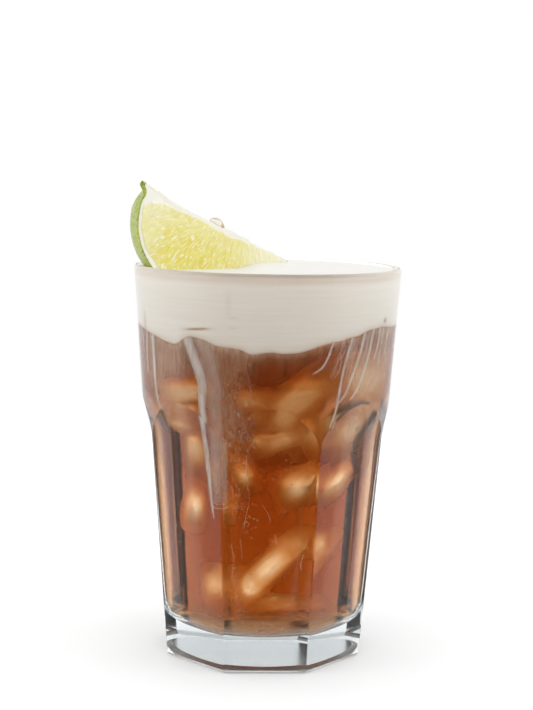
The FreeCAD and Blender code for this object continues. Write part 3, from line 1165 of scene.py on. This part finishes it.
def lime_pulp(pulp):
    """Juice cells and pith: both cuts have bulging cells that fan out from the core to the peel."""
    line = inward(rounded(LIME_OUTLINE, 0.32), lambda p: peel_depth(p) - PULP_INTO_PEEL)
    columns = len(line)
    shares = [k / CUT_ROWS for k in range(CUT_ROWS + 1)]
    # Out along the front cut, round behind the peel, and back along the far cut.
    loop = [(share, 0.0, True) for share in shares]
    loop += [(1.0, LIME_ANGLE * k / BACK_STEPS, False) for k in range(1, BACK_STEPS)]
    loop += [(share, LIME_ANGLE, True) for share in shares[::-1]]
    points, flesh, pale, grain = [], [], [], []
    for share, angle, cut in loop:
        for j, rim in enumerate(line):
            core = CORE_START + CORE_LENGTH * j / (columns - 1)
            x = core + (rim[0] - core) * share
            rag = 0.35 * noise.noise(Vector((x / 2.3, angle, 1.7)))
            start = min(rim[1], max(0.05, between(LIME_CORE, x, 1) + rag))
            radius = start + (rim[1] - start) * share
            to_peel = math.hypot(rim[0] - x, rim[1] - radius)
            inside = flesh_share(x, radius, angle, to_peel) if cut else 0
            across, along, bulge = juice_cell(x, radius, angle)
            flesh.append(inside)
            grain.extend((across, along, float(angle)))
            ends = max(ramp(6.0, 26.0, x), 0.5 * ramp(-12.0, -24.0, x))
            pale.append(ends + 0.3 * ramp(14.0, 3.0, radius))
            lift = (-0.25 + inside * (0.25 + 0.12 * bulge)) * ramp(0, 0.15, share) if cut else 0
            points.append(lime_point(x, radius, angle, lift))
    piece = new_piece("lime_pulp", points, loop_faces(len(loop), columns), pulp)
    carry(piece, "flesh", flesh)
    carry(piece, "pale", pale)
    carry(piece, "grain", grain, "FLOAT_VECTOR", "vector")
    recalculate(piece)
    return piece


# The pip stands beside the core: its place on the wedge, length, half width and points.
PIP_PLACE = Vector((-0.6, 1.5, -0.3))
PIP_LENGTH = 6.2
PIP_HALF_WIDTH = 1.9
PIP_ROWS = 13
PIP_COLUMNS = 20


def lime_pip(coat):
    """A pip that stands up beside the core, on the far cut."""
    points, bare = [], []
    for i in range(PIP_ROWS + 1):
        t = i / PIP_ROWS
        r = PIP_HALF_WIDTH * math.sin(math.pi * t) ** 0.75 * (1 - 0.3 * t)
        for j in range(PIP_COLUMNS):
            a = 2 * math.pi * j / PIP_COLUMNS
            spot = Vector(((t - 0.45) * PIP_LENGTH, r * math.cos(a), 1.1 * r * math.sin(a)))
            points.append(LIME_MIDDLE + LIME_SPIN @ (PIP_PLACE + spot))
            bare.append(ramp(0.74, 0.9, -math.cos(a)) * ramp(0.75, 0.6, t))
    faces = grid_faces(PIP_ROWS + 1, PIP_COLUMNS)
    piece = new_piece("lime_pip", points, faces, coat)
    carry(piece, "bare", bare)
    recalculate(piece)
    return piece


# ---- light, floor and camera ----

# Where the tent opens, and the dot products with that direction at which it starts and is open.
TENT_OPENING = (-0.045, -0.999, 0.0)
TENT_OPENING_EDGE = (0.25, 0.85)
# How bright the tent is all round and in its opening: in reflections, on matt things in the
# open, and on what lies behind glass, which is lifted to make up for the light the glass holds.
TENT_IN_GLOSS = (1.0, 0.05)
TENT_ON_MATT = (1.08, 0.78)
TENT_THROUGH_GLASS = (1.6, 1.2)
# Lamps: name, where they shine from, power, how wide they are in degrees.
LAMPS = (
    ("side_left", (-1.0, -0.25, 0.35), 0.35, 50),
    ("side_right", (1.0, -0.2, 0.35), 0.4, 50),
)
LIGHT_BOUNCES = 48
FLOOR_RADIUS = 420
FLOOR_SIDES = 96
FLOOR_GLOW = 0.25
# How far in front of the glass the floor fades out in reflections.
FLOOR_EDGE = (45 * MM, 75 * MM)


def light_tent():
    """A white tent; its dark opening in front is seen only in reflections and by matt things."""
    world = bpy.data.worlds.new("light_tent")
    bpy.context.scene.world = world
    world.use_nodes = True
    tree = world.node_tree
    tree.nodes.clear()
    spot = add_node(tree, "TexCoord").outputs["Generated"]
    ahead = add_node(tree, "VectorMath", {0: spot, 1: TENT_OPENING}, operation="DOT_PRODUCT")
    edge = dict(zip(("From Min", "From Max"), TENT_OPENING_EDGE), Value=ahead.outputs["Value"])
    in_gloss, in_open, through_glass = (
        add_node(
            tree,
            "MapRange",
            {**edge, "To Min": around, "To Max": opening},
            interpolation_type="SMOOTHSTEP",
        )
        for around, opening in (TENT_IN_GLOSS, TENT_ON_MATT, TENT_THROUGH_GLASS)
    )
    # 1 once a ray has bounced off something matt, gone through glass or been reflected.
    path = add_node(tree, "LightPath")
    matt, behind, glossy = (
        add_node(tree, "Math", {0: path.outputs[count], 1: 0.5}, operation="GREATER_THAN")
        for count in ("Diffuse Depth", "Transmission Depth", "Glossy Depth")
    )
    on_matt = add_node(tree, "Mix", {0: behind, 2: in_open, 3: through_glass})
    level = add_node(tree, "Mix", {0: matt, 2: in_gloss, 3: on_matt})
    reflected = add_node(tree, "Math", {0: matt, 1: glossy}, operation="MAXIMUM")
    tent = add_node(tree, "Background", {"Color": linear(WHITE), "Strength": level})
    plain = add_node(tree, "Background", {"Color": linear(WHITE), "Strength": 1.0})
    mix = add_node(tree, "MixShader", {0: reflected, 1: plain, 2: tent})
    add_node(tree, "OutputWorld", {"Surface": mix})


def lamps():
    """Two wide, weak lamps beside the glass."""
    for name, place, power, angle in LAMPS:
        lamp = bpy.data.lights.new(name, "SUN")
        lamp.energy = power
        lamp.angle = math.radians(angle)
        holder = bpy.data.objects.new(name, lamp)
        holder.location = place
        holder.rotation_euler = Vector(place).to_track_quat("Z", "Y").to_euler()
        bpy.context.scene.collection.objects.link(holder)


def paper_material():
    """Uncoated white paper."""
    # Matt and plain, and it glows a little; in reflections it ends a short way before the glass.
    made, tree = new_material("white_paper")
    spot = add_node(tree, "TexCoord").outputs["Object"]
    ahead = add_node(tree, "VectorMath", {0: spot, 1: TENT_OPENING}, operation="DOT_PRODUCT")
    beyond = dict(zip(("From Min", "From Max"), FLOOR_EDGE), Value=ahead.outputs["Value"])
    beyond = add_node(tree, "MapRange", beyond, interpolation_type="SMOOTHSTEP")
    path = add_node(tree, "LightPath").outputs
    glossy = add_node(tree, "Math", {0: path["Glossy Depth"], 1: 0.5}, operation="GREATER_THAN")
    gone = add_node(tree, "Math", {0: beyond, 1: glossy}, operation="MULTIPLY")
    glow = add_node(tree, "MapRange", {"Value": gone, "To Min": FLOOR_GLOW, "To Max": 0.0})
    white = {0: gone, 6: linear("ECECEC"), 7: linear(BLACK)}
    white = add_node(tree, "Mix", white, data_type="RGBA").outputs[2]
    matt = add_node(tree, "BsdfDiffuse", {"Color": white})
    lit = add_node(tree, "Emission", {"Color": linear(WHITE), "Strength": glow})
    both = add_node(tree, "AddShader", {0: matt, 1: lit})
    seen = path["Is Camera Ray"]
    for kind in ("Is Transmission Ray", "Is Glossy Ray"):
        seen = add_node(tree, "Math", {0: seen, 1: path[kind]}, operation="MAXIMUM")
    paper = add_node(tree, "MixShader", {0: seen, 1: matt, 2: both})
    add_node(tree, "OutputMaterial", {"Surface": paper})
    return made


def floor():
    """A round sheet of white paper under the glass."""
    points = [(0, 0, 0)]
    points += [ring_point(360 * j / FLOOR_SIDES, FLOOR_RADIUS, 0) for j in range(FLOOR_SIDES)]
    faces = fan(1, FLOOR_SIDES, 0, turned=True)
    mesh = bpy.data.meshes.new("floor")
    mesh.from_pydata([[c * MM for c in p] for p in points], [], faces)
    mesh.materials.append(paper_material())
    sheet = bpy.data.objects.new("floor", mesh)
    bpy.context.scene.collection.objects.link(sheet)


def camera():
    """The camera, in front of the glass."""
    lens = bpy.data.cameras.new("camera")
    lens.lens = CAMERA_LENS
    lens.sensor_width = 36
    lens.clip_start = 0.01
    holder = bpy.data.objects.new("camera", lens)
    spin = (
        Matrix.Rotation(math.radians(FRONT), 4, "Z")
        @ Matrix.Rotation(math.radians(90 - CAMERA_DOWN), 4, "X")
        @ Matrix.Rotation(math.radians(CAMERA_ROLL), 4, "Z")
    )
    spot = Vector(ring_point(FRONT, CAMERA_REACH, CAMERA_HEIGHT)) * MM
    holder.matrix_world = Matrix.Translation(spot) @ spin
    bpy.context.scene.collection.objects.link(holder)
    bpy.context.scene.camera = holder


def stage():
    """Everything round the drink: the light, the floor and the camera."""
    scene = bpy.context.scene
    scene.view_settings.view_transform = "Standard"
    scene.cycles.max_bounces = LIGHT_BOUNCES
    scene.cycles.transmission_bounces = LIGHT_BOUNCES
    scene.cycles.transparent_max_bounces = LIGHT_BOUNCES
    light_tent()
    lamps()
    floor()
    camera()


# ---- the model ----

glass = frame["nodes"]["glass"]
glass.material_slots[0].material = glass_material()
cola_piece = cola_body(cola_material())
ice_piece = ice_mass(ice_material())
hollow_for_ice(cola_piece, ice_piece)
cream_cap(cream_material())
cream_runs(film_material("cream_film", "FFEBDC", "FFF4EA"))
cream_haze(film_material("cream_haze", "F2A960", "FFF2E2"))
bubbles(froth_material())
lime_peel(peel_material())
lime_pulp(pulp_material())
lime_pip(pip_material())
stage()
